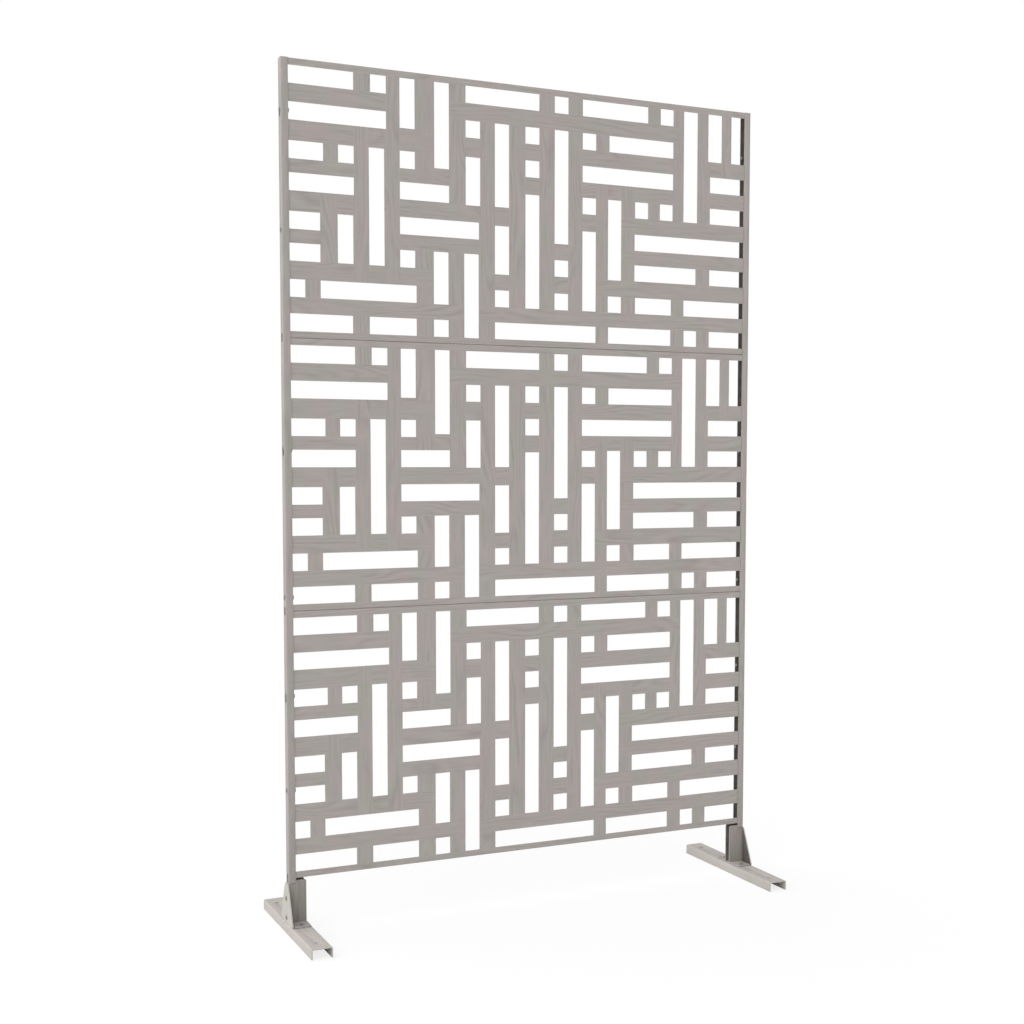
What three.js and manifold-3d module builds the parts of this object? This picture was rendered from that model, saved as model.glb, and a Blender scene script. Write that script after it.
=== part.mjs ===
// Garden privacy screen: three slotted sheet-metal panels stacked between two channel posts, which stand
// on short legs, triangular side brackets and two inverted channel feet, all bolted together.
// Millimetres. +X runs to the right, +Y to the back and +Z up, from the middle of the footprint on the
// floor.

import * as THREE from "three";
import { mergeVertices } from "three/addons/utils/BufferGeometryUtils.js";
import Module from "manifold-3d";

const wasm = await Module();
wasm.setup();

// ---------------------------------------------------------------- driving dimensions

// Clearance kept between any two pieces that touch.
const fitGap = 0.3;

// Panels: flat pans of thin sheet with their four edges folded back.
const panelNames = ["lower", "middle", "upper"];
const panelHeight = 599.7;
const panelSheet = 1.2;
const panelEdgeBend = 0.9;

// Posts: upright channels, open towards the panels, whose lips lap the panels front and back.
const frameWidth = 1205;
const postWidth = 16.2;
const postDepth = 22;
const postSheet = 1.5;
const postBendRadius = 2;
const postDrop = 10.5;

// Slots in a post's web, one at each panel's lower edge and one at every second side bolt, which sits above
// the middle of its slot.
const webSlotLength = 20;
const webSlotWidth = 8;
const slotBoltRise = 5;

// Legs: short channels that carry the posts, on a base plate of their own.
const legWidth = 38.6;
const legSheet = 2;
const legTopGap = 5;
const legCornerRadius = 4;
const basePlateLength = 94;
const basePlateThickness = 3;
const baseBoltSpacing = 72;

// Side brackets: flat plates on the outside of the posts, wide at the foot.
const bracketThickness = 3;
const bracketFootWidth = 94;
const bracketToeHeight = 3;
const bracketTopDrop = 12;
const bracketCornerRadius = 5;
const bracketBoltHeights = [13, 57];

// Feet: inverted channels that run from front to back.
const footLength = 388;
const footHeight = 23;
const footSheet = 2.5;
const footOuterMargin = 0.8;
const footInnerMargin = 2.9;
const footBendRadius = 3;
const anchorInset = 38.5;
const anchorDiameter = 9;

// Clear height between the feet and the lowest panel.
const panelClearance = 103;

// Bolts and nuts: one size all over, an ultra-low head with a hexagon socket, and a thin nut with a washer
// face, so that neither stands out beside the posts nor shows in the slots.
const shankDiameter = 6;
const headDiameter = 10.5;
const headHeight = 1.3;
const headRim = 0.5;
const headFlat = 7;
const socketAcrossFlats = 3;
const socketDepth = 1.6;
const nutAcrossFlats = 10;
const nutHeight = 3;
const washerDiameter = 11.6;
const washerThickness = 0.6;
const threadProjection = 0.3;

// Heights above each panel's lower edge of its round side hole and of the middle of its side slot.
const sideBoltHeights = { lower: [198, 405], middle: [30, 351], upper: [232, 484] };

// Distance of the seam bolts from the middle of the screen.
const seamBoltOffset = 300;

// ---------------------------------------------------------------- the cut-out lattice of one panel

// The lattice is drawn on a field of this size, and follows the panel when the panel is stretched.
const drawnWidth = 1172;
const drawnHeight = 599.7;
const lyingSlotHeight = 38.5;
const slotSideMargin = 0.5;
const standingSlotWidth = 36;
const wideSlotWidth = 39;

// Lying slots, row by row from the bottom: the row's lower edge, then the left and right end of each slot.
const lyingSlots = [
  { foot: 14.5, spans: [[0, 144], [183, 295], [337, 373], [489, 753]] },
  { foot: 14.5, spans: [[787, 961], [999, 1035], [1072, 1172]] },
  { foot: 88.5, spans: [[0, 35], [70, 295], [489, 525], [643, 679], [786, 822], [861, 962], [998, 1172]] },
  { foot: 166.5, spans: [[0, 70], [256, 292], [643, 679], [859, 1032], [1072, 1172]] },
  { foot: 235, spans: [[0, 70]] },
  { foot: 240, spans: [[256, 449], [859, 1172]] },
  { foot: 317.5, spans: [[0, 148], [256, 375], [717, 753], [860, 896], [929, 965], [1072, 1172]] },
  { foot: 386, spans: [[0, 78], [112, 148], [256, 292]] },
  { foot: 392, spans: [[567, 603], [717, 966]] },
  { foot: 394, spans: [[1072, 1172]] },
  { foot: 468.5, spans: [[0, 224], [416, 452], [567, 603], [717, 753], [789, 966]] },
  { foot: 546, spans: [[0, 148], [187, 224], [416, 603], [643, 679], [717, 895], [930, 966]] },
];

// Standing slots from left to right: left edge, lower end, upper end.
const standingSlots = [
  [110, 167, 273.5],
  [183, 167, 425],
  [256, 474.5, 584.5],
  [337, 88, 206],
  [339, 393, 584.5],
  [412, 14.5, 206],
  [416, 316, 425],
  [489, 163.5, 274.5],
  [489, 317.5, 507],
  [567, 88.5, 352],
  [643, 243, 507],
  [717, 89, 277],
  [786, 166, 356],
];
const wideStandingSlots = [
  [996, 317.5, 584.5],
  [1066, 469.5, 584.5],
  [1133, 470, 584.5],
];

// ---------------------------------------------------------------- sizes that follow from those above

const lipGap = frameWidth - 2 * postWidth;
const panelWidth = lipGap + 2 * panelSheet;
const panelDepth = postDepth - 2 * postSheet - 2 * fitGap;
const panelPitch = panelHeight + fitGap;
const stackBottom = footHeight + panelClearance;
const stackHeight = panelNames.length * panelPitch - fitGap;
const boltHole = shankDiameter + 2 * fitGap;
const legStart = postSheet + fitGap;
const legDepth = panelDepth;
const legHeight = panelClearance - legTopGap - fitGap;
const legMiddle = legStart + legWidth / 2;
const footOverhang = bracketThickness + fitGap + footOuterMargin;
const footWidth = footOverhang + legStart + legWidth + footInnerMargin;
const bracketHeight = panelClearance - bracketTopDrop - fitGap;

// ---------------------------------------------------------------- finishes

const grainedCoat = { color: 0x8d8883, roughness: 0.55, metalness: 0.1 };
const footCoat = { color: 0xa8a49d, roughness: 0.55, metalness: 0.1 };
const boltSteel = { color: 0x35363a, roughness: 0.4, metalness: 0.8 };

const screen = new THREE.Group();

function addMesh(parent, name, geometry, finish) {
  const mesh = new THREE.Mesh(geometry, new THREE.MeshStandardMaterial(finish));
  mesh.name = name;
  parent.add(mesh);
  return mesh;
}

// ---------------------------------------------------------------- joining and cutting solids

// Points closer than this become one, a cutter runs this far past the surface that it cuts, and turned
// pieces have this many sides.
const weldDistance = 1e-4;
const overshoot = 1;
const roundSides = 12;

function toSolid(geometry) {
  const bare = geometry.clone();
  bare.deleteAttribute("normal");
  bare.deleteAttribute("uv");
  const merged = mergeVertices(bare, weldDistance);
  return new wasm.Manifold(new wasm.Mesh({
    numProp: 3,
    vertProperties: new Float32Array(merged.attributes.position.array),
    triVerts: new Uint32Array(merged.index.array),
  }));
}

function toGeometry(solid) {
  const mesh = solid.getMesh();
  const geometry = new THREE.BufferGeometry();
  geometry.setAttribute("position", new THREE.BufferAttribute(new Float32Array(mesh.vertProperties), 3));
  geometry.setIndex(new THREE.BufferAttribute(new Uint32Array(mesh.triVerts), 1));
  geometry.computeVertexNormals();
  return geometry;
}

function joined(geometries) {
  return geometries.map(toSolid).reduce((whole, piece) => whole.add(piece));
}

function withCuts(solid, cutters) {
  return cutters.map(toSolid).reduce((rest, cutter) => rest.subtract(cutter), solid);
}

// ---------------------------------------------------------------- simple shapes

function cuboid([x0, x1], [y0, y1], [z0, z1]) {
  const box = new THREE.BoxGeometry(x1 - x0, y1 - y0, z1 - z0);
  return box.translate((x0 + x1) / 2, (y0 + y1) / 2, (z0 + z1) / 2);
}

function outline(points) {
  return new THREE.Shape(points.map(([a, b]) => new THREE.Vector2(a, b)));
}

function extruded(shape, length) {
  return new THREE.ExtrudeGeometry(shape, { depth: length, bevelEnabled: false, curveSegments: 4 });
}

// A shape drawn in X and Y, raised from z0 to z1.
function alongZ(shape, z0, z1) {
  return extruded(shape, z1 - z0).translate(0, 0, z0);
}

// A shape drawn in Y and Z, run from x0 to x1.
function alongX(shape, x0, x1) {
  const turn = new THREE.Matrix4().set(0, 0, 1, 0, 1, 0, 0, 0, 0, 1, 0, 0, 0, 0, 0, 1);
  return extruded(shape, x1 - x0).applyMatrix4(turn).translate(x0, 0, 0);
}

// A shape drawn in X and Z, run from y0 to y1.
function alongY(shape, y0, y1) {
  return extruded(shape, y1 - y0).rotateX(Math.PI / 2).translate(0, y1, 0);
}

function disc(diameter, a, b) {
  const shape = new THREE.Shape();
  shape.absarc(a, b, diameter / 2, 0, 2 * Math.PI);
  return shape;
}

// A slot with round ends whose long way runs along the second axis.
function roundEndedSlot(a, b, width, length) {
  const reach = (length - width) / 2;
  const shape = new THREE.Shape();
  shape.absarc(a, b + reach, width / 2, 0, Math.PI);
  shape.absarc(a, b - reach, width / 2, Math.PI, 2 * Math.PI);
  return shape;
}

// The same geometry seen in a mirror at x = 0, with its faces turned to point outwards again.
function mirrored(geometry) {
  const copy = geometry.clone().scale(-1, 1, 1);
  const index = copy.index.array;
  for (let i = 0; i < index.length; i += 3) {
    [index[i], index[i + 1]] = [index[i + 1], index[i]];
  }
  copy.computeVertexNormals();
  return copy;
}

// ---------------------------------------------------------------- bolts and nuts

function hexagon(acrossFlats) {
  const corner = acrossFlats / Math.sqrt(3);
  return outline([0, 1, 2, 3, 4, 5].map((side) => {
    const angle = (side * Math.PI) / 3;
    return [corner * Math.cos(angle), corner * Math.sin(angle)];
  }));
}

// The bolt points down: the underside of its head lies at z = 0.
function boltGeometry(gripLength) {
  const shankEnd = -gripLength - nutHeight - threadProjection;
  const profile = [
    [0, shankEnd],
    [shankDiameter / 2, shankEnd],
    [shankDiameter / 2, 0],
    [headDiameter / 2, 0],
    ...headDome(),
    [0, headHeight],
  ];
  const points = profile.map(([r, z]) => new THREE.Vector2(r, z));
  const turned = new THREE.LatheGeometry(points, roundSides).rotateX(Math.PI / 2);
  const socket = alongZ(hexagon(socketAcrossFlats), headHeight - socketDepth, headHeight + overshoot);
  return toGeometry(withCuts(toSolid(turned), [socket]));
}

// The dome bends from the rim up to the flat round the socket, as radius and height.
function headDome() {
  const rise = headHeight - headRim;
  const run = (headDiameter - headFlat) / 2;
  const steps = 4;
  return Array.from({ length: steps + 1 }, (_, step) => {
    const angle = ((step / steps) * Math.PI) / 2;
    return [headFlat / 2 + run * Math.cos(angle), headRim + rise * Math.sin(angle)];
  });
}

// The nut's seat lies at z = 0 and the nut hangs below it.
function nutGeometry() {
  const washer = alongZ(disc(washerDiameter, 0, 0), -washerThickness, 0);
  const hexBody = alongZ(hexagon(nutAcrossFlats), -nutHeight, -washerThickness / 2);
  const bore = alongZ(disc(boltHole, 0, 0), -nutHeight - overshoot, overshoot);
  return toGeometry(withCuts(joined([washer, hexBody]), [bore]));
}

// One bolt and its nut, clamping a grip of the given thickness below the point where the head sits.
function addFastener(parent, name, seat, gripLength, turn) {
  const pair = new THREE.Group();
  pair.position.set(...seat);
  pair.rotation.set(...turn);
  parent.add(pair);
  const bolt = addMesh(pair, `${name}_bolt`, boltGeometry(gripLength + 2 * fitGap), boltSteel);
  bolt.position.z = fitGap;
  const nut = addMesh(pair, `${name}_nut`, nutGeometry(), boltSteel);
  nut.position.z = -gripLength - fitGap;
}

const headUp = [0, 0, 0];
const headLeft = [0, -Math.PI / 2, 0];
const headRight = [0, Math.PI / 2, 0];

// ---------------------------------------------------------------- panels

const panelTop = panelHeight;
const panelSide = panelWidth / 2;
const panelFront = -panelDepth / 2;
const panelBack = panelDepth / 2;

// Every slot of the lattice, as a cutter right through the face of a panel.
function latticeCutters() {
  const reach = lipGap / 2 - slotSideMargin;
  const across = (drawn) => Math.max(-reach, Math.min(reach, (drawn / drawnWidth - 0.5) * lipGap));
  const upwards = (drawn) => (drawn * panelHeight) / drawnHeight;
  const depth = [panelFront - overshoot, panelFront + panelSheet + overshoot];
  const lying = lyingSlots.flatMap(({ foot, spans }) => spans.map(([left, right]) => {
    const z0 = upwards(foot);
    return cuboid([across(left), across(right)], depth, [z0, z0 + lyingSlotHeight]);
  }));
  const stand = (slots, width) => slots.map(([left, foot, head]) => {
    const x0 = across(left);
    const x1 = Math.min(x0 + width, reach);
    return cuboid([x0, x1], depth, [upwards(foot), upwards(head)]);
  });
  return [...lying, ...stand(standingSlots, standingSlotWidth), ...stand(wideStandingSlots, wideSlotWidth)];
}

// A panel stands with its lower edge at z = 0 and its middle at x = 0 and y = 0. Behind its face it is
// hollow and open to the back.
function panelHollow() {
  const side = panelSide - panelSheet;
  const depth = [panelFront + panelSheet, panelBack + overshoot];
  return cuboid([-side, side], depth, [panelSheet, panelTop - panelSheet]);
}

// The folded edges at the top and bottom of the face are eased, so that two panels meet in a fine groove.
function easedEdges() {
  const leg = panelEdgeBend + overshoot;
  const ease = (edge, inwards) => {
    const corner = [panelFront - overshoot, edge - inwards * overshoot];
    const alongFace = [panelFront - overshoot, edge + inwards * leg];
    const alongFlange = [panelFront + leg, edge - inwards * overshoot];
    return alongX(outline([corner, alongFlange, alongFace]), -panelSide - overshoot, panelSide + overshoot);
  };
  return [ease(0, 1), ease(panelTop, -1)];
}

// The two side bolts of a panel, above its lower edge.
function sideBolts(name) {
  const [roundHole, slot] = sideBoltHeights[name];
  return { low: roundHole, high: slot + slotBoltRise };
}

// Every panel has all the side holes, so that the three are alike.
function panelBoltHoles() {
  const heights = panelNames.flatMap((name) => Object.values(sideBolts(name)));
  const sideHoles = heights.map(
    (z) => alongX(disc(boltHole, 0, z), -panelSide - overshoot, panelSide + overshoot),
  );
  const seamHoles = [-seamBoltOffset, seamBoltOffset].map(
    (x) => alongZ(disc(boltHole, x, 0), -overshoot, panelTop + overshoot),
  );
  return [...sideHoles, ...seamHoles];
}

function panelGeometry() {
  const block = cuboid([-panelSide, panelSide], [panelFront, panelBack], [0, panelTop]);
  const cutters = [panelHollow(), ...latticeCutters(), ...easedEdges(), ...panelBoltHoles()];
  return toGeometry(withCuts(toSolid(block), cutters));
}

const onePanel = panelGeometry();
const panelBottoms = {};
panelNames.forEach((name, level) => {
  panelBottoms[name] = stackBottom + level * panelPitch;
  const panel = addMesh(screen, `${name}_panel`, onePanel.clone(), grainedCoat);
  panel.position.z = panelBottoms[name];
});

// Bolts through the folded edges where two panels meet.
for (const name of panelNames.slice(1)) {
  const sides = { left: -seamBoltOffset, right: seamBoltOffset };
  for (const [side, x] of Object.entries(sides)) {
    const seat = [x, 0, panelBottoms[name] + panelSheet];
    addFastener(screen, `${side}_${name}_seam`, seat, 2 * panelSheet + fitGap, headUp);
  }
}

// ---------------------------------------------------------------- one side of the frame

// The left side is drawn with x = 0 at the post's outer face and +X towards the panels. The right side is
// its mirror image.

// The post is a channel whose lips end just below the panels. Its web runs on down beside the leg.
function postGeometry() {
  const half = postDepth / 2;
  const inside = half - postSheet;
  const lipEnd = stackBottom - postDrop;
  const bottom = footHeight + fitGap;
  const top = stackBottom + stackHeight;
  const through = (shape) => alongX(shape, -overshoot, postSheet + overshoot);
  const behindWeb = [postSheet, postWidth + overshoot];
  const cuts = [
    cuboid(behindWeb, [-inside, inside], [bottom - overshoot, top + overshoot]),
    cuboid(behindWeb, [-half - overshoot, half + overshoot], [bottom - overshoot, lipEnd]),
    ...bracketBoltHeights.map((z) => through(disc(boltHole, 0, footHeight + z))),
  ];
  for (const name of panelNames) {
    const level = panelBottoms[name];
    const [roundHole, slottedHole] = sideBoltHeights[name];
    cuts.push(through(roundEndedSlot(0, level, webSlotWidth, webSlotLength)));
    cuts.push(through(disc(boltHole, 0, level + roundHole)));
    cuts.push(through(roundEndedSlot(0, level + slottedHole, webSlotWidth, webSlotLength)));
  }
  const bend = postBendRadius;
  const section = new THREE.Shape();
  section.moveTo(postWidth, -half);
  section.lineTo(postWidth, half);
  section.lineTo(bend, half);
  section.absarc(bend, half - bend, bend, Math.PI / 2, Math.PI);
  section.lineTo(0, bend - half);
  section.absarc(bend, bend - half, bend, Math.PI, 1.5 * Math.PI);
  return toGeometry(withCuts(toSolid(alongZ(section, bottom, top)), cuts));
}

// The leg is a channel, open to the middle of the screen, on a base plate that is longer to the front and
// the back.
function legGeometry() {
  const front = -legDepth / 2;
  const back = legDepth / 2;
  const foot = footHeight + fitGap;
  const floor = foot + basePlateThickness;
  const top = foot + legHeight;
  const inner = legStart + legWidth;
  const reach = basePlateLength / 2;
  const across = [legStart - overshoot, inner + overshoot];
  const above = [floor, top + overshoot];
  const wallHole = (z) => alongX(disc(boltHole, 0, footHeight + z), 0, legStart + legSheet + overshoot);
  const baseHole = (y) => alongZ(disc(boltHole, legMiddle, y), foot - overshoot, floor + overshoot);
  const cuts = [
    cuboid(across, [-reach - overshoot, front], above),
    cuboid(across, [back, reach + overshoot], above),
    cuboid([legStart + legSheet, inner + overshoot], [front + legSheet, back - legSheet], above),
    alongY(cornerRest(inner, top), front - overshoot, back + overshoot),
    ...bracketBoltHeights.map(wallHole),
    ...[-baseBoltSpacing / 2, baseBoltSpacing / 2].map(baseHole),
  ];
  const block = cuboid([legStart, inner], [-reach, reach], [foot, top]);
  return toGeometry(withCuts(toSolid(block), cuts));
}

// What lies outside the rounded upper corner of the leg, as a cutter drawn in X and Z.
function cornerRest(x, z) {
  const shape = new THREE.Shape();
  shape.moveTo(x - legCornerRadius, z + overshoot);
  shape.lineTo(x - legCornerRadius, z);
  shape.absarc(x - legCornerRadius, z - legCornerRadius, legCornerRadius, Math.PI / 2, 0, true);
  shape.lineTo(x + overshoot, z - legCornerRadius);
  shape.lineTo(x + overshoot, z + overshoot);
  return shape;
}

// The side bracket is as wide as the post at its top, where its corners are round, and spreads towards
// the foot.
function bracketGeometry() {
  const base = footHeight + fitGap;
  const half = postDepth / 2;
  const spread = bracketFootWidth / 2;
  const toe = base + bracketToeHeight;
  const top = base + bracketHeight;
  const round = bracketCornerRadius;
  const lean = (round * (spread - half)) / (top - toe);
  const plate = new THREE.Shape();
  plate.moveTo(-spread, base);
  plate.lineTo(spread, base);
  plate.lineTo(spread, toe);
  plate.lineTo(half + lean, top - round);
  plate.quadraticCurveTo(half, top, half - round, top);
  plate.lineTo(round - half, top);
  plate.quadraticCurveTo(-half, top, -half - lean, top - round);
  plate.lineTo(-spread, toe);
  const outer = -bracketThickness - fitGap;
  const hole = (z) => alongX(disc(boltHole, 0, footHeight + z), outer - overshoot, overshoot);
  const cuts = bracketBoltHeights.map(hole);
  return toGeometry(withCuts(toSolid(alongX(plate, outer, -fitGap)), cuts));
}

// The foot is an inverted channel with bent upper edges and an anchor hole near each end.
function footGeometry() {
  const outer = -footOverhang;
  const inner = outer + footWidth;
  const half = footLength / 2;
  const bend = footBendRadius;
  const section = new THREE.Shape();
  section.moveTo(outer, 0);
  section.lineTo(outer + footSheet, 0);
  section.lineTo(outer + footSheet, footHeight - footSheet);
  section.lineTo(inner - footSheet, footHeight - footSheet);
  section.lineTo(inner - footSheet, 0);
  section.lineTo(inner, 0);
  section.lineTo(inner, footHeight - bend);
  section.absarc(inner - bend, footHeight - bend, bend, 0, Math.PI / 2);
  section.lineTo(outer + bend, footHeight);
  section.absarc(outer + bend, footHeight - bend, bend, Math.PI / 2, Math.PI);
  const plateBottom = footHeight - footSheet;
  const through = (diameter, x, y) => {
    return alongZ(disc(diameter, x, y), plateBottom - overshoot, footHeight + overshoot);
  };
  const middle = (outer + inner) / 2;
  const cuts = [
    through(anchorDiameter, middle, anchorInset - half),
    through(anchorDiameter, middle, half - anchorInset),
    through(boltHole, legMiddle, -baseBoltSpacing / 2),
    through(boltHole, legMiddle, baseBoltSpacing / 2),
  ];
  return toGeometry(withCuts(toSolid(alongY(section, -half, half)), cuts));
}

const sideMakers = {
  post: [postGeometry, grainedCoat],
  leg: [legGeometry, grainedCoat],
  bracket: [bracketGeometry, footCoat],
  foot: [footGeometry, footCoat],
};

function addSide(side) {
  const left = side === "left";
  const group = new THREE.Group();
  group.position.x = left ? -frameWidth / 2 : frameWidth / 2;
  screen.add(group);
  const inwards = left ? 1 : -1;
  const headOut = left ? headLeft : headRight;

  for (const [name, [make, finish]] of Object.entries(sideMakers)) {
    addMesh(group, `${side}_${name}`, left ? make() : mirrored(make()), finish);
  }

  // Two bolts hold each panel to the post.
  const sideGrip = postWidth;
  for (const name of panelNames) {
    for (const [place, height] of Object.entries(sideBolts(name))) {
      const seat = [0, 0, panelBottoms[name] + height];
      addFastener(group, `${side}_${name}_${place}`, seat, sideGrip, headOut);
    }
  }

  // Two bolts clamp the bracket, the post's web and the leg together.
  const bracketGrip = bracketThickness + fitGap + legStart + legSheet;
  const bracketFace = -inwards * (bracketThickness + fitGap);
  bracketBoltHeights.forEach((z, i) => {
    const level = i === 0 ? "lower" : "upper";
    addFastener(group, `${side}_${level}_bracket`, [bracketFace, 0, footHeight + z], bracketGrip, headOut);
  });

  // Two bolts hold the leg's base plate to the foot.
  const baseGrip = basePlateThickness + fitGap + footSheet;
  const baseTop = footHeight + fitGap + basePlateThickness;
  const ends = { front: -baseBoltSpacing / 2, back: baseBoltSpacing / 2 };
  for (const [end, y] of Object.entries(ends)) {
    addFastener(group, `${side}_${end}_base`, [inwards * legMiddle, y, baseTop], baseGrip, headUp);
  }
}

addSide("left");
addSide("right");

export default screen;
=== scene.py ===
import bisect
import math
import random

import bpy
from mathutils import Matrix, Vector


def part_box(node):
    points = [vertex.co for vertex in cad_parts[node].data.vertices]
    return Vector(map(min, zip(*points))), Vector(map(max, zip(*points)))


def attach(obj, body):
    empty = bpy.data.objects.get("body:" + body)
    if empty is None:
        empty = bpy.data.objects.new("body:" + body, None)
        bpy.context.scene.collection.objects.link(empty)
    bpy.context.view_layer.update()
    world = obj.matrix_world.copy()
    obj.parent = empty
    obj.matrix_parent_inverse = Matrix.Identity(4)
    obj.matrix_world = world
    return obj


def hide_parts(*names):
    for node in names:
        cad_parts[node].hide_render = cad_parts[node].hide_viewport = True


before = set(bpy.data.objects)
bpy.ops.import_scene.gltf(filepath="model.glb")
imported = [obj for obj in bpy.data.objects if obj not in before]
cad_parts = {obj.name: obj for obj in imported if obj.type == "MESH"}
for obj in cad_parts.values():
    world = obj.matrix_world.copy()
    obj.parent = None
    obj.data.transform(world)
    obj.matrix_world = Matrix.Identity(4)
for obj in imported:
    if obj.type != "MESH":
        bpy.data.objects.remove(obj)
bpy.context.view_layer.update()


# ---------------------------------------------------------------- panels
# Three alike pans of thin sheet steel, laser cut, folded back along their four edges and bolted between
# the posts. They are powder coated in a taupe grey and printed with a faint wood grain, which runs along
# each bar between the slots. The inner sides of the two folded ends are painted dark as shade.

# Lengths are in metres. Two places nearer to each other than SAME_PLACE are one, and a face looks along an
# axis where that part of its normal is over FACING.
PANEL_SHEET = 0.0012
FOLD_RADIUS = 0.0018
FOLD_STEPS = 4
CUT_EDGE_RADIUS = 0.0002
SAME_PLACE = 1e-5
FACING = 0.7
SMOOTH_ANGLE = math.radians(35)

# The shares say how much of the threads, rings and orange peel is laid over the pattern below them.
RINGS_PER_METRE = 60
RING_DRIFT = 10
THREAD_SHARE = 0.35
RING_SHARE = 0.3
RINGS_FADE_IN = (0.42, 0.62)
TINT_PLACES = (0.36, 0.5, 0.64)
LINE_ROUGHNESS = 0.66
COAT_ROUGHNESS = 0.52
PEEL_SHARE = 0.4
RELIEF_STRENGTH = 0.12
RELIEF_DEPTH = 0.0002
SHADE_COAT_ROUGHNESS = 0.8
SHADE_COAT_SHINE = 0.2
FULL_RANGE = (0, 1)
GRAIN_SPREAD = 40


def srgb(red, green, blue):
    """A colour as a screen shows it, from 0 to 255, as the linear values that a shader takes."""
    def channel(value):
        share = value / 255
        return share / 12.92 if share <= 0.04045 else ((share + 0.055) / 1.055) ** 2.4
    return (channel(red), channel(green), channel(blue), 1.0)


def grey(value):
    return (value, value, value, 1.0)


def shader_of(name):
    material = bpy.data.materials.new(name)
    material.use_nodes = True
    nodes = material.node_tree.nodes
    return material, nodes, material.node_tree.links, nodes["Principled BSDF"]


def feed(links, socket, value):
    """Gives a socket a plain number, or links a pattern to it."""
    if isinstance(value, (int, float)):
        socket.default_value = value
    else:
        links.new(value, socket)


def even_noise(nodes, links, place, blots, detail=2):
    """Noise with about so many blots a metre each way."""
    noise = nodes.new("ShaderNodeTexNoise")
    noise.inputs["Scale"].default_value = blots
    noise.inputs["Detail"].default_value = detail
    links.new(place, noise.inputs["Vector"])
    return noise.outputs["Fac"]


def stretched_noise(nodes, links, grain_place, along, across, detail):
    """Noise drawn out along the grain, with so many blots a metre along and across it."""
    mapping = nodes.new("ShaderNodeMapping")
    mapping.inputs["Scale"].default_value = (along, across, 1)
    links.new(grain_place, mapping.inputs["Vector"])
    return even_noise(nodes, links, mapping.outputs["Vector"], blots=1, detail=detail)


def calculated(nodes, links, operation, *values):
    """The result of one calculation with patterns and plain numbers."""
    node = nodes.new("ShaderNodeMath")
    node.operation = operation
    for socket, value in zip(node.inputs, values):
        feed(links, socket, value)
    return node.outputs["Value"]


def mapped(nodes, links, pattern, before, after):
    """A pattern whose values are moved from the range before to the range after."""
    node = nodes.new("ShaderNodeMapRange")
    node.inputs["From Min"].default_value = before[0]
    node.inputs["From Max"].default_value = before[1]
    node.inputs["To Min"].default_value = after[0]
    node.inputs["To Max"].default_value = after[1]
    links.new(pattern, node.inputs["Value"])
    return node.outputs["Result"]


def weighed(nodes, links, first, second, share):
    """Two patterns laid over each other, the second with this share of the whole."""
    mix = nodes.new("ShaderNodeMix")
    feed(links, mix.inputs["Factor"], share)
    links.new(first, mix.inputs["A"])
    links.new(second, mix.inputs["B"])
    return mix.outputs["Result"]


def multiplied(nodes, links, first, second):
    """Two colours multiplied, through the Mix node's own sockets for colours."""
    color_sockets = (6, 7)
    color_result = 2
    mix = nodes.new("ShaderNodeMix")
    mix.data_type = "RGBA"
    mix.blend_type = "MULTIPLY"
    mix.inputs["Factor"].default_value = 1
    for socket, color in zip(color_sockets, (first, second)):
        links.new(color, mix.inputs[socket])
    return mix.outputs[color_result]


def ramp(nodes, links, pattern, stops):
    """Colours along a pattern's values, each given with its place from 0 to 1."""
    node = nodes.new("ShaderNodeValToRGB")
    elements = node.color_ramp.elements
    while len(elements) < len(stops):
        elements.new(0.5)
    for element, (place, color) in zip(elements, stops):
        element.position = place
        element.color = color
    links.new(pattern, node.inputs["Fac"])
    return node.outputs["Color"]


def cathedral_rings(nodes, links, grain_place):
    """Growth rings that run along the grain and close to pointed arches here and there."""
    bend = stretched_noise(nodes, links, grain_place, along=3, across=14, detail=1)
    split = nodes.new("ShaderNodeSeparateXYZ")
    links.new(grain_place, split.inputs["Vector"])
    drift = calculated(nodes, links, "MULTIPLY", bend, RING_DRIFT)
    count = calculated(nodes, links, "MULTIPLY_ADD", split.outputs["Y"], RINGS_PER_METRE, drift)
    half_ring = calculated(nodes, links, "PINGPONG", count, 0.5)
    return calculated(nodes, links, "MULTIPLY", half_ring, 2)


def grain_lines(nodes, links, grain_place):
    """The printed lines: fibres and fine threads all over, with growth rings here and there."""
    rings = cathedral_rings(nodes, links, grain_place)
    fibres = stretched_noise(nodes, links, grain_place, along=9, across=190, detail=5)
    threads = stretched_noise(nodes, links, grain_place, along=30, across=800, detail=2)
    strength = stretched_noise(nodes, links, grain_place, along=6, across=18, detail=1)
    plain = weighed(nodes, links, fibres, threads, THREAD_SHARE)
    ringed = weighed(nodes, links, plain, rings, RING_SHARE)
    presence = mapped(nodes, links, strength, RINGS_FADE_IN, FULL_RANGE)
    return weighed(nodes, links, plain, ringed, presence)


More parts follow.
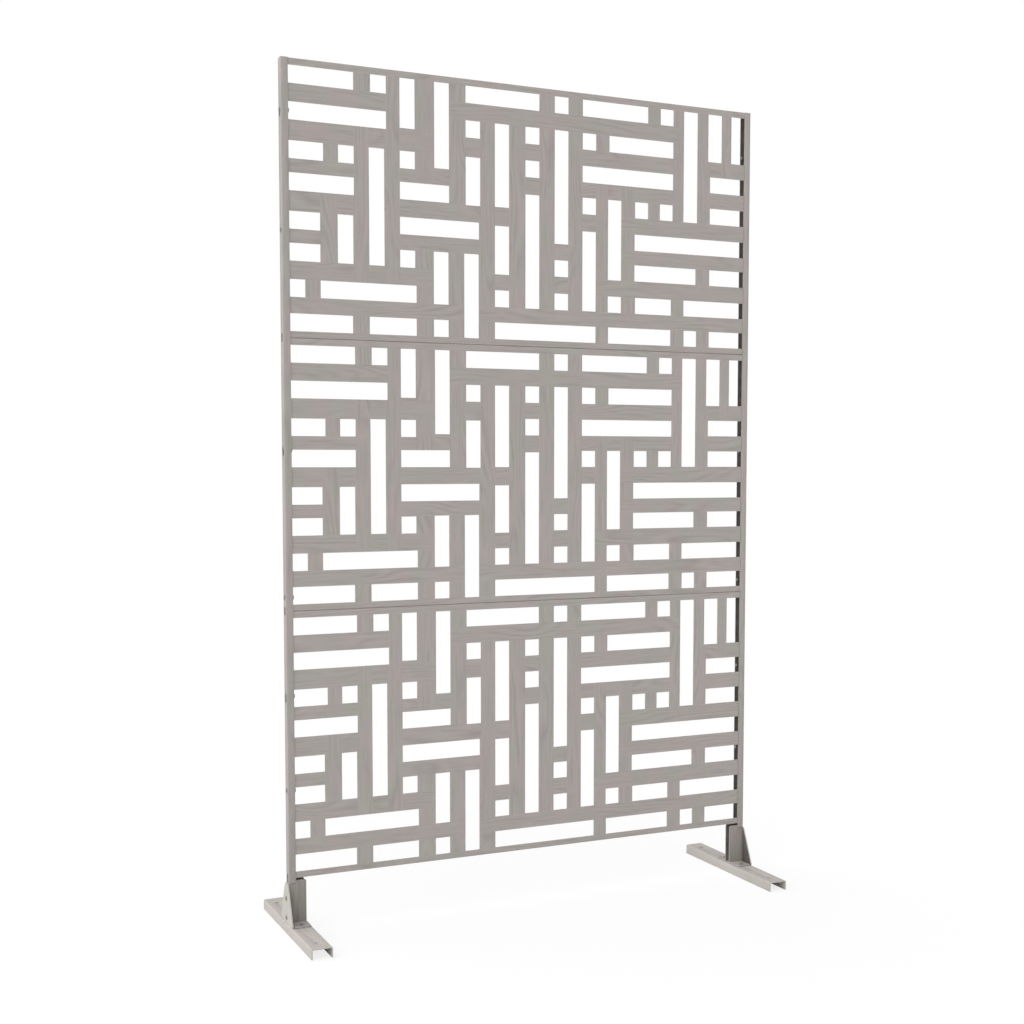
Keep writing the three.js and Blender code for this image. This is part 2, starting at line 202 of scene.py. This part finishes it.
def grained_coat(name, tints, line_shade=0.83, foot_shade=None, shine=0.3):
    """Satin powder coat with a printed wood grain that follows the piece's own grain map.

    The coat wanders between three tints, and the grain's darkest lines have the given shade. Where a
    foot shade is given, as two heights and the shades there, the coat is painted darker towards the
    piece's lower end, as shade.
    """
    material, nodes, links, shader = shader_of(name)
    grain_map = nodes.new("ShaderNodeUVMap")
    grain_map.uv_map = "grain"
    place = nodes.new("ShaderNodeTexCoord").outputs["Object"]
    lines = grain_lines(nodes, links, grain_map.outputs["UV"])

    clouds = even_noise(nodes, links, place, blots=11)
    tint = ramp(nodes, links, clouds, list(zip(TINT_PLACES, tints)))
    depth = 1 - line_shade
    dark_line = (0.3, grey(line_shade))
    plain_coat = (0.5, grey(1 - depth / 8))
    pale_line = (0.7, grey(1 + depth / 4))
    grain = ramp(nodes, links, lines, [dark_line, plain_coat, pale_line])
    color = multiplied(nodes, links, tint, grain)
    # Painted shade, darker towards the piece's lower end.
    if foot_shade:
        height = nodes.new("ShaderNodeSeparateXYZ")
        links.new(place, height.inputs["Vector"])
        painted_darkening = mapped(nodes, links, height.outputs["Z"], *foot_shade)
        color = multiplied(nodes, links, color, painted_darkening)
    links.new(color, shader.inputs["Base Color"])

    roughness = mapped(nodes, links, lines, FULL_RANGE, (LINE_ROUGHNESS, COAT_ROUGHNESS))
    links.new(roughness, shader.inputs["Roughness"])
    orange_peel = even_noise(nodes, links, place, blots=700)
    bump = nodes.new("ShaderNodeBump")
    bump.inputs["Strength"].default_value = RELIEF_STRENGTH
    bump.inputs["Distance"].default_value = RELIEF_DEPTH
    links.new(weighed(nodes, links, lines, orange_peel, PEEL_SHARE), bump.inputs["Height"])
    links.new(bump.outputs["Normal"], shader.inputs["Normal"])
    shader.inputs["Specular IOR Level"].default_value = shine
    return material


def painted_shade_coat(name, dark, dusty):
    """A dull dark coat that paints the shade inside folds and channels, with a little dust in its tone."""
    material, nodes, links, shader = shader_of(name)
    place = nodes.new("ShaderNodeTexCoord").outputs["Object"]
    dust = even_noise(nodes, links, place, blots=60, detail=5)
    tone = ramp(nodes, links, dust, [(0.35, dark), (0.75, dusty)])
    links.new(tone, shader.inputs["Base Color"])
    shader.inputs["Roughness"].default_value = SHADE_COAT_ROUGHNESS
    shader.inputs["Specular IOR Level"].default_value = SHADE_COAT_SHINE
    return material


TAUPE = (srgb(154, 151, 144), srgb(156, 150, 147), srgb(159, 150, 147))
PANEL_COAT = grained_coat("panel_coat", TAUPE)
PANEL_END_SHADE = painted_shade_coat("panel_end_painted_shade", srgb(45, 41, 39), srgb(63, 59, 56))

panel_low, panel_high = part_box("lower_panel")
cad_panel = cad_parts["lower_panel"]
face_y = panel_low.y
bpy.context.view_layer.update()


def cut_lines(axis):
    """Where the slots' edges lie along this axis, with the two outer edges of the panel."""
    low = panel_low[axis]
    high = panel_high[axis]
    in_face = [v.co[axis] for v in cad_panel.data.vertices if abs(v.co.y - face_y) < SAME_PLACE]
    lines = [low]
    for value in sorted(in_face):
        far_from_ends = low + 2 * PANEL_SHEET < value < high - 2 * PANEL_SHEET
        at_slot_end = axis == 0 and low + PANEL_SHEET < value < high - PANEL_SHEET
        if (far_from_ends or at_slot_end) and value - lines[-1] > 10 * SAME_PLACE:
            lines.append(value)
    return lines + [high]


columns = cut_lines(0)
rows = cut_lines(2)


def is_sheet(column, row):
    """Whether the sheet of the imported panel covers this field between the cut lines."""
    middle_x = (columns[column] + columns[column + 1]) / 2
    middle_z = (rows[row] + rows[row + 1]) / 2
    start = Vector((middle_x, face_y - PANEL_SHEET, middle_z))
    hit = cad_panel.ray_cast(start, Vector((0, 1, 0)), distance=2 * PANEL_SHEET)
    return hit[0]


fields = {
    (column, row): is_sheet(column, row)
    for column in range(len(columns) - 1)
    for row in range(len(rows) - 1)
}


def field_at(point):
    """The field between the cut lines in which a point of the face lies."""
    column = min(max(bisect.bisect(columns, point.x) - 1, 0), len(columns) - 2)
    row = min(max(bisect.bisect(rows, point.z) - 1, 0), len(rows) - 2)
    return column, row


def run_length(lines, index, has_sheet):
    """How far the sheet runs on without a slot, both ways from one field."""
    first = index
    last = index
    while has_sheet(last + 1):
        last += 1
    while has_sheet(first - 1):
        first -= 1
    return lines[last + 1] - lines[first]


def lies(column, row):
    """Whether the bar through this field lies, rather than stands."""
    across = run_length(columns, column, lambda near: fields.get((near, row)))
    upwards = run_length(rows, row, lambda near: fields.get((column, near)))
    return across >= upwards


lying = {field: lies(*field) for field, sheet in fields.items() if sheet}


def bars_of_fields():
    """Joins neighbouring fields whose grain runs the same way, and gives every such bar a number."""
    numbered = {}
    for field in lying:
        if field in numbered:
            continue
        number = len(set(numbered.values()))
        numbered[field] = number
        waiting = [field]
        while waiting:
            column, row = waiting.pop()
            for near in ((column + 1, row), (column - 1, row), (column, row + 1), (column, row - 1)):
                if near in lying and lying[near] == lying[field] and near not in numbered:
                    numbered[near] = number
                    waiting.append(near)
    return numbered


bars = bars_of_fields()


def select_alone(piece):
    bpy.ops.object.select_all(action="DESELECT")
    piece.select_set(True)
    bpy.context.view_layer.objects.active = piece


def edit(piece):
    """Opens a piece in edit mode, alone and with nothing selected."""
    select_alone(piece)
    bpy.ops.object.mode_set(mode="EDIT")
    bpy.ops.mesh.select_mode(type="FACE")
    bpy.ops.mesh.select_all(action="DESELECT")


def leave_edit():
    bpy.ops.object.mode_set(mode="OBJECT")


def pick_faces(piece, test):
    """Selects the faces whose centres pass a test, from edit mode."""
    leave_edit()
    for face in piece.data.polygons:
        face.select = test(face.center)
    bpy.ops.object.mode_set(mode="EDIT")


def pick_edges(piece, test):
    """Selects the edges whose two ends pass a test, from edit mode."""
    leave_edit()
    vertices = piece.data.vertices
    for edge in piece.data.edges:
        edge.select = test(*[vertices[end].co for end in edge.vertices])
    bpy.ops.object.mode_set(mode="EDIT")


def apply_modifier(piece, kind, **settings):
    select_alone(piece)
    modifier = piece.modifiers.new(kind.title(), kind)
    for name, value in settings.items():
        setattr(modifier, name, value)
    bpy.ops.object.modifier_apply(modifier=modifier.name)


def break_edges(piece, radius, steps, least_angle):
    """Rounds the edges where two faces meet at more than this many degrees."""
    bend = math.radians(least_angle)
    apply_modifier(piece, "BEVEL", width=radius, segments=steps, limit_method="ANGLE", angle_limit=bend)


def smooth_bends(piece):
    """Shades a piece smooth where its faces turn only a little."""
    select_alone(piece)
    bpy.ops.object.shade_smooth_by_angle(angle=SMOOTH_ANGLE)


def on_outline(point):
    beside = min(abs(point.x - panel_low.x), abs(point.x - panel_high.x)) < SAME_PLACE
    above_or_below = min(abs(point.z - panel_low.z), abs(point.z - panel_high.z)) < SAME_PLACE
    return beside or above_or_below


def along_outline(first, second):
    same_x = abs(first.x - second.x) < SAME_PLACE
    same_z = abs(first.z - second.z) < SAME_PLACE
    level = abs(first.y - second.y) < SAME_PLACE
    return on_outline(first) and on_outline(second) and level and (same_x or same_z)


def is_level_fold(first, second):
    """Whether an edge is part of the fold along the pan's top or bottom."""
    level = abs(first.z - second.z) < SAME_PLACE
    in_front = max(first.y, second.y) < face_y + SAME_PLACE
    return level and in_front and along_outline(first, second)


def pan_of_sheet():
    """The slotted face, cut from one plane, with its edges extruded back and the folds rounded."""
    middle = (panel_low + panel_high) / 2
    place = (middle.x, face_y, middle.z)
    bpy.ops.object.select_all(action="DESELECT")
    bpy.ops.mesh.primitive_plane_add(size=1, location=place, rotation=(math.pi / 2, 0, 0))
    pan = bpy.context.object
    pan.scale = (panel_high.x - panel_low.x, panel_high.z - panel_low.z, 1)
    bpy.ops.object.transform_apply(location=True, rotation=True, scale=True)
    edit(pan)
    for normal, lines in (((1, 0, 0), columns), ((0, 0, 1), rows)):
        for line in lines[1:-1]:
            bpy.ops.mesh.select_all(action="SELECT")
            bpy.ops.mesh.bisect(plane_co=[line * share for share in normal], plane_no=normal)
    pick_faces(pan, lambda centre: not fields[field_at(centre)])
    bpy.ops.mesh.delete(type="FACE")
    bpy.ops.mesh.select_mode(type="EDGE")
    pick_edges(pan, along_outline)
    depth = panel_high.y - face_y
    bpy.ops.mesh.extrude_region_move(TRANSFORM_OT_translate={"value": (0, depth, 0)})
    pick_edges(pan, is_level_fold)
    bpy.ops.mesh.bevel(offset=FOLD_RADIUS, segments=FOLD_STEPS, affect="EDGES")
    bpy.ops.mesh.select_all(action="SELECT")
    bpy.ops.mesh.normals_make_consistent(inside=False)
    leave_edit()
    return pan


def random_shift(draw):
    return (draw.uniform(0, GRAIN_SPREAD), draw.uniform(0, GRAIN_SPREAD))


def map_panel_grain(piece, seed):
    """Lays the grain along each bar of the face, and along the folded edges round it."""
    draw = random.Random(seed)
    bar_shifts = [random_shift(draw) for _ in range(max(bars.values()) + 1)]
    edge_shift = random_shift(draw)
    grain = piece.data.uv_layers.new(name="grain")
    for face in piece.data.polygons:
        field = field_at(face.center)
        if face.center.y < face_y + SAME_PLACE and field in bars:
            along_x = lying[field]
            shift = bar_shifts[bars[field]]
        else:
            beside = min(face.center.x - panel_low.x, panel_high.x - face.center.x)
            above = min(face.center.z - panel_low.z, panel_high.z - face.center.z)
            along_x = above < beside
            shift = edge_shift
        for loop in face.loop_indices:
            spot = piece.data.vertices[piece.data.loops[loop].vertex_index].co
            along, across = (spot.x, spot.z) if along_x else (spot.z, spot.x)
            grain.data[loop].uv = (along + shift[0], across + spot.y + shift[1])


def paint_shade_inside(piece):
    """The inner sides of the two folded ends carry the second material, a dark coat that paints the shade
    there.
    """
    end = panel_high.x - 2 * PANEL_SHEET
    for face in piece.data.polygons:
        inwards = face.normal.x * face.center.x < 0 and abs(face.normal.x) > FACING
        behind_face = face.center.y > face_y + PANEL_SHEET
        if inwards and behind_face and abs(face.center.x) > end:
            face.material_index = 1


pan = pan_of_sheet()
pan.data.materials.append(PANEL_COAT)
pan.data.materials.append(PANEL_END_SHADE)
for level, node in enumerate(["lower_panel", "middle_panel", "upper_panel"]):
    piece = pan.copy()
    piece.data = pan.data.copy()
    piece.name = f"{node}_sheet"
    bpy.context.collection.objects.link(piece)
    map_panel_grain(piece, seed=level + 1)
    apply_modifier(piece, "SOLIDIFY", thickness=PANEL_SHEET, offset=-1, use_even_offset=True)
    paint_shade_inside(piece)
    break_edges(piece, CUT_EDGE_RADIUS, steps=1, least_angle=60)
    smooth_bends(piece)
    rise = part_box(node)[0].z - panel_low.z
    piece.data.transform(Matrix.Translation((0, 0, rise)))
    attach(piece, "root")
    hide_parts(node)
bpy.data.objects.remove(pan)


# ---------------------------------------------------------------- posts, legs, brackets and feet
# The frame is folded from thicker sheet: channel posts that hold the panels' ends, short channel legs,
# flat side brackets and inverted channel feet, all bolted together. It is coated like the panels, with
# the grain lengthwise. The legs and the posts' lower ends are painted darker downwards as shade, and
# the inner sides of the legs and brackets are painted dark as shade.

BASE_PLATE_THICKNESS = 0.003
POST_SHADE_REACH = 0.15

leg_low, leg_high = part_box("left_leg")
post_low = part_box("left_post")[0]
# Painted shade: the legs and the posts' lower ends darken downwards, towards the feet.
LEG_SHADE = ((leg_low.z, leg_high.z), (0.59, 0.77))
POST_SHADE = ((post_low.z, post_low.z + POST_SHADE_REACH), (0.86, 1.0))
POST_TAUPE = (srgb(149, 146, 139), srgb(151, 145, 142), srgb(154, 145, 142))
LEG_TAUPE = (srgb(156, 153, 144), srgb(159, 153, 147), srgb(161, 152, 147))
FOOT_TAUPE = (srgb(167, 165, 157), srgb(169, 164, 159), srgb(171, 164, 159))
POST_COAT = grained_coat("post_coat", POST_TAUPE, foot_shade=POST_SHADE, shine=0.55)
LEG_COAT = grained_coat("leg_coat", LEG_TAUPE, line_shade=0.7, foot_shade=LEG_SHADE)
FOOT_COAT = grained_coat("foot_coat", FOOT_TAUPE, line_shade=0.95)
LEG_BRACKET_SHADE = painted_shade_coat("leg_bracket_painted_shade", srgb(90, 85, 81), srgb(118, 112, 107))

EDGE_RADIUS = {"post": 0.0003, "leg": 0.0003, "bracket": 0.0004, "foot": 0.0004}
GRAIN_AXIS = {"post": 2, "leg": 2, "bracket": 2, "foot": 1}
COATS = {
    "post": (POST_COAT,),
    "leg": (LEG_COAT, LEG_BRACKET_SHADE, PANEL_COAT),
    "bracket": (FOOT_COAT, LEG_BRACKET_SHADE),
    "foot": (FOOT_COAT,),
}
FRAME_PIECES = [(side, kind) for side in ("left", "right") for kind in EDGE_RADIUS]


def map_lengthwise(piece, axis, seed):
    """Lays the grain along one axis of the piece, and runs it on round the folds."""
    shift = random_shift(random.Random(seed))
    others = [i for i in range(3) if i != axis]
    grain = piece.data.uv_layers.new(name="grain")
    for face in piece.data.polygons:
        for loop in face.loop_indices:
            spot = piece.data.vertices[piece.data.loops[loop].vertex_index].co
            across = spot[others[0]] + spot[others[1]]
            grain.data[loop].uv = (spot[axis] + shift[0], across + shift[1])


def finished_copy(node, edge_radius):
    """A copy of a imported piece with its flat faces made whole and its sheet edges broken."""
    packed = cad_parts[node]
    piece = bpy.data.objects.new(f"{node}_sheet", packed.data.copy())
    bpy.context.collection.objects.link(piece)
    piece.data.materials.clear()
    edit(piece)
    bpy.ops.mesh.select_all(action="SELECT")
    bpy.ops.mesh.remove_doubles(threshold=SAME_PLACE)
    bpy.ops.mesh.dissolve_limited(angle_limit=math.radians(1))
    leave_edit()
    break_edges(piece, edge_radius, steps=2, least_angle=50)
    smooth_bends(piece)
    return piece


def is_inside(face, kind):
    """Whether a face lies on the inner side of a bracket or a leg, which is painted dark as shade."""
    inwards = face.normal.x * face.center.x < 0 and abs(face.normal.x) > FACING
    if kind == "bracket":
        return inwards
    on_web = inwards and abs(face.center.x) > abs(leg_low.x + leg_high.x) / 2
    on_flange = abs(face.normal.y) > FACING and face.normal.y * face.center.y < 0
    return kind == "leg" and (on_web or on_flange)


def is_plate_or_rim(face, kind):
    """Whether a face is part of a leg's base plate, or of the rim along the leg's open side."""
    on_plate = face.center.z < leg_low.z + BASE_PLATE_THICKNESS + SAME_PLACE
    on_rim = abs(face.center.x) < abs(leg_high.x) + SAME_PLACE
    return kind == "leg" and (on_plate or on_rim)


for seed, (side, kind) in enumerate(FRAME_PIECES):
    node = f"{side}_{kind}"
    piece = finished_copy(node, EDGE_RADIUS[kind])
    map_lengthwise(piece, GRAIN_AXIS[kind], seed)
    for coat in COATS[kind]:
        piece.data.materials.append(coat)
    # Inner faces get the painted shade. Base plates and rims get the panels' coat, without the legs'
    # painted shade.
    for face in piece.data.polygons:
        if is_inside(face, kind):
            face.material_index = 1
        elif is_plate_or_rim(face, kind):
            face.material_index = 2
    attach(piece, "root")
    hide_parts(node)


# ---------------------------------------------------------------- bolts and nuts
# Steel screws with very low heads join all the sheet pieces, and thin nuts with washers hold them from
# behind. The heads' zinc has gone dull and grey, a little darker and browner in places. Their hexagon
# sockets are painted dark as shade, and the nuts are blackened steel.

STEEL_ROUGHNESS = (0.4, 0.6)
STEEL_SHARE_OF_METAL = 0.5

ROUND_SIDES = 32
HEXAGON = 6
SHANK_RADIUS = 0.003
LONG_SHANK = 0.05
HEAD_HEIGHT = 0.0013
HEAD_RIM = 0.0005
HEAD_FLAT_RADIUS = 0.0035
DOME_STEPS = 5
SOCKET_FLATS = 0.003
SOCKET_DEPTH = 0.0016
WASHER_THICKNESS = 0.0006
NUT_FLATS = 0.010
NUT_CHAMFER = 0.0004
FLATS_TO_CORNER = 1 / math.sqrt(3)


def dull_steel(name, dark, middle, bright):
    """Steel with a bloom on it that wanders between three tones."""
    material, nodes, links, shader = shader_of(name)
    place = nodes.new("ShaderNodeTexCoord").outputs["Object"]
    bloom = even_noise(nodes, links, place, blots=220, detail=4)
    tone = ramp(nodes, links, bloom, [(0.3, dark), (0.5, middle), (0.75, bright)])
    links.new(tone, shader.inputs["Base Color"])
    roughness = mapped(nodes, links, bloom, FULL_RANGE, STEEL_ROUGHNESS)
    links.new(roughness, shader.inputs["Roughness"])
    shader.inputs["Metallic"].default_value = STEEL_SHARE_OF_METAL
    return material


DULL_ZINC = dull_steel("dull_zinc", srgb(118, 115, 111), srgb(136, 133, 129), srgb(150, 148, 145))
BLACK_STEEL_AND_SOCKET_SHADE = dull_steel("black_steel_and_socket_shade", srgb(58, 55, 53), srgb(72, 69, 66), srgb(88, 85, 82))


def turned_disc(sides, radius, top, bottom):
    bpy.ops.object.select_all(action="DESELECT")
    bpy.ops.mesh.primitive_cylinder_add(vertices=sides, radius=radius, depth=top - bottom)
    disc = bpy.context.object
    disc.data.transform(Matrix.Translation((0, 0, (top + bottom) / 2)))
    return disc


def grow(width_share, rise):
    """Extrudes the selected faces upwards and widens or narrows them round the bolt's axis."""
    bpy.ops.mesh.extrude_region_move(TRANSFORM_OT_translate={"value": (0, 0, rise)})
    bpy.ops.transform.resize(value=(width_share, width_share, 1), center_override=(0, 0, 0))


def combine(piece, other, operation):
    apply_modifier(piece, "BOOLEAN", object=other, operation=operation, solver="EXACT")
    bpy.data.objects.remove(other)


def low_head_bolt(head_radius):
    """One bolt that points down, with the underside of its head at z = 0 and a very long shank."""
    bolt = turned_disc(ROUND_SIDES, SHANK_RADIUS, 0, -LONG_SHANK)
    edit(bolt)
    pick_faces(bolt, lambda centre: centre.z > -SAME_PLACE)
    grow(head_radius / SHANK_RADIUS, 0)
    grow(1, HEAD_RIM)
    radius = head_radius
    height = HEAD_RIM
    for step in range(1, DOME_STEPS + 1):
        angle = step / DOME_STEPS * math.pi / 2
        next_radius = HEAD_FLAT_RADIUS + (head_radius - HEAD_FLAT_RADIUS) * math.cos(angle)
        next_height = HEAD_RIM + (HEAD_HEIGHT - HEAD_RIM) * math.sin(angle)
        grow(next_radius / radius, next_height - height)
        radius = next_radius
        height = next_height
    leave_edit()
    socket_corner = SOCKET_FLATS * FLATS_TO_CORNER
    socket_floor = HEAD_HEIGHT - SOCKET_DEPTH
    socket = turned_disc(HEXAGON, socket_corner, HEAD_HEIGHT + SOCKET_DEPTH, socket_floor)
    combine(bolt, socket, "DIFFERENCE")
    bolt.data.materials.append(DULL_ZINC)
    bolt.data.materials.append(BLACK_STEEL_AND_SOCKET_SHADE)
    # The socket's faces are painted dark as shade.
    for face in bolt.data.polygons:
        near_axis = face.center.xy.length < socket_corner
        below_top = socket_floor - SAME_PLACE < face.center.z < HEAD_HEIGHT - SAME_PLACE
        face.material_index = int(near_axis and below_top)
    return bolt


def thin_nut(washer_radius, height):
    """One nut that hangs down from its washer face at z = 0."""
    nut = turned_disc(HEXAGON, NUT_FLATS * FLATS_TO_CORNER, -WASHER_THICKNESS / 2, -height)
    break_edges(nut, NUT_CHAMFER, steps=2, least_angle=70)
    combine(nut, turned_disc(ROUND_SIDES, washer_radius, 0, -WASHER_THICKNESS), "UNION")
    combine(nut, turned_disc(ROUND_SIDES, SHANK_RADIUS, height, -2 * height), "DIFFERENCE")
    nut.data.materials.append(BLACK_STEEL_AND_SOCKET_SHADE)
    return nut


def outward_turn(node):
    """The turn that points a fastener's upper end out of the screen, or up where it stands upright."""
    if "_base_" in node or "_seam_" in node:
        return Matrix.Identity(4)
    side = -1 if node.startswith("left") else 1
    return Matrix.Rotation(side * math.pi / 2, 4, "Y")


def place_fastener(template, node, reach):
    """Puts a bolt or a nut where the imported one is, with its upper end this far above its own z = 0."""
    low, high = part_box(node)
    turn = outward_turn(node)
    outward = (turn @ Vector((0, 0, 1))).to_3d()
    middle = (low + high) / 2
    half_length = sum(abs(outward[i]) * (high[i] - low[i]) / 2 for i in range(3))
    piece = bpy.data.objects.new(f"{node}_fine", template.data.copy())
    bpy.context.collection.objects.link(piece)
    for vertex in piece.data.vertices:
        if vertex.co.z < -LONG_SHANK / 2:
            vertex.co.z = reach - 2 * half_length
    piece.data.transform(Matrix.Translation(middle + outward * (half_length - reach)) @ turn)
    smooth_bends(piece)
    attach(piece, "root")
    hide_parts(node)


bolt_low, bolt_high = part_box("left_front_base_bolt")
nut_low, nut_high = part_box("left_front_base_nut")
bolt = low_head_bolt((bolt_high.x - bolt_low.x) / 2)
nut = thin_nut((nut_high.x - nut_low.x) / 2, nut_high.z - nut_low.z)
for node in list(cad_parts):
    if node.endswith("_bolt"):
        place_fastener(bolt, node, HEAD_HEIGHT)
    elif node.endswith("_nut"):
        place_fastener(nut, node, 0)
bpy.data.objects.remove(bolt)
bpy.data.objects.remove(nut)


# ---------------------------------------------------------------- floor, light and camera
# A plain white floor and sky. The light is soft and comes mostly from the upper left, with a weak lamp
# at the front. The camera stands at the left of the screen's middle, a little above half its height.

FLOOR_SIZE = 60
FLOOR_DROP = 0.0002
FLOOR_PAINT = grey(0.8)
FLOOR_FADE = (1.0, 3.0)
FLOOR_GLOW = (0.8, 1.0)
WHITE = grey(1)
SKY_LIGHT = (-1.0, -0.1, 1.0)
FULL_SKY = 2.5
FAINT_SKY = 0.05
LAMP_DISTANCE = 3
CAMERA_PLACE = (-1.4624, -3.0704, 1.0515)
CAMERA_RIGHT = math.radians(24.71)
CAMERA_DOWN = math.radians(3.79)
CAMERA_SENSOR = 36
CAMERA_LENS = 50.3
CAMERA_SHIFT = 0.0453


def mixed_shaders(nodes, links, share, first, second):
    mix = nodes.new("ShaderNodeMixShader")
    links.new(share, mix.inputs["Fac"])
    links.new(first, mix.inputs[1])
    links.new(second, mix.inputs[2])
    return mix.outputs["Shader"]


def floor_white():
    """White to the camera, with a fifth of the shadows' strength near the screen and none far off."""
    material, nodes, links, shader = shader_of("floor_white")
    nodes.remove(shader)
    paint = nodes.new("ShaderNodeBsdfDiffuse")
    paint.inputs["Color"].default_value = FLOOR_PAINT
    glow = nodes.new("ShaderNodeEmission")
    glow.inputs["Color"].default_value = WHITE
    distance = nodes.new("ShaderNodeVectorMath")
    distance.operation = "LENGTH"
    links.new(nodes.new("ShaderNodeTexCoord").outputs["Object"], distance.inputs[0])
    fade = mapped(nodes, links, distance.outputs["Value"], FLOOR_FADE, FLOOR_GLOW)
    fade.node.interpolation_type = "SMOOTHSTEP"
    seen = nodes.new("ShaderNodeLightPath").outputs["Is Camera Ray"]
    share = calculated(nodes, links, "MULTIPLY", seen, fade)
    surface = mixed_shaders(nodes, links, share, paint.outputs["BSDF"], glow.outputs["Emission"])
    links.new(surface, nodes["Material Output"].inputs["Surface"])
    return material


bpy.ops.object.select_all(action="DESELECT")
bpy.ops.mesh.primitive_plane_add(size=FLOOR_SIZE, location=(0, 0, -FLOOR_DROP))
floor = bpy.context.object
floor.name = "floor"
floor.data.materials.append(floor_white())


def light_from_upper_left(nodes, links):
    """How bright the sky is in each direction: full at the upper left, and faint on the other side."""
    towards = nodes.new("ShaderNodeVectorMath")
    towards.operation = "DOT_PRODUCT"
    towards.inputs[1].default_value = Vector(SKY_LIGHT).normalized()
    links.new(nodes.new("ShaderNodeTexCoord").outputs["Generated"], towards.inputs[0])
    return mapped(nodes, links, towards.outputs["Value"], FULL_RANGE, (FAINT_SKY, FULL_SKY))


def white_sky():
    """White wherever the sky is seen or mirrored, and a soft light from the upper left elsewhere."""
    world = bpy.data.worlds.new("white_sky")
    bpy.context.scene.world = world
    world.use_nodes = True
    nodes = world.node_tree.nodes
    links = world.node_tree.links
    nodes.clear()
    path = nodes.new("ShaderNodeLightPath").outputs
    seen = calculated(nodes, links, "MAXIMUM", path["Is Camera Ray"], path["Is Glossy Ray"])
    shown = calculated(nodes, links, "MAXIMUM", seen, path["Is Transmission Ray"])
    lit = nodes.new("ShaderNodeBackground")
    lit.inputs["Color"].default_value = WHITE
    links.new(light_from_upper_left(nodes, links), lit.inputs["Strength"])
    white = nodes.new("ShaderNodeBackground")
    white.inputs["Color"].default_value = WHITE
    white.inputs["Strength"].default_value = 1
    sky = mixed_shaders(nodes, links, shown, lit.outputs["Background"], white.outputs["Background"])
    links.new(sky, nodes.new("ShaderNodeOutputWorld").inputs["Surface"])


white_sky()


def far_lamp(name, towards, strength, softness):
    """A large lamp so far off that it lights every part of the screen alike."""
    bpy.ops.object.light_add(type="SUN", location=Vector(towards) * -LAMP_DISTANCE)
    lamp = bpy.context.object
    lamp.name = name
    lamp.data.energy = strength
    lamp.data.angle = math.radians(softness)
    lamp.rotation_euler = Vector(towards).to_track_quat("-Z", "Y").to_euler()


far_lamp("front_light", towards=(-0.2, 1.0, -0.5), strength=0.3, softness=40)

camera_turn = (math.pi / 2 - CAMERA_DOWN, 0, -CAMERA_RIGHT)
bpy.ops.object.camera_add(location=CAMERA_PLACE, rotation=camera_turn)
camera = bpy.context.object
camera.data.sensor_width = CAMERA_SENSOR
camera.data.lens = CAMERA_LENS
camera.data.shift_y = CAMERA_SHIFT
bpy.context.scene.camera = camera
bpy.context.scene.view_settings.view_transform = "Standard"
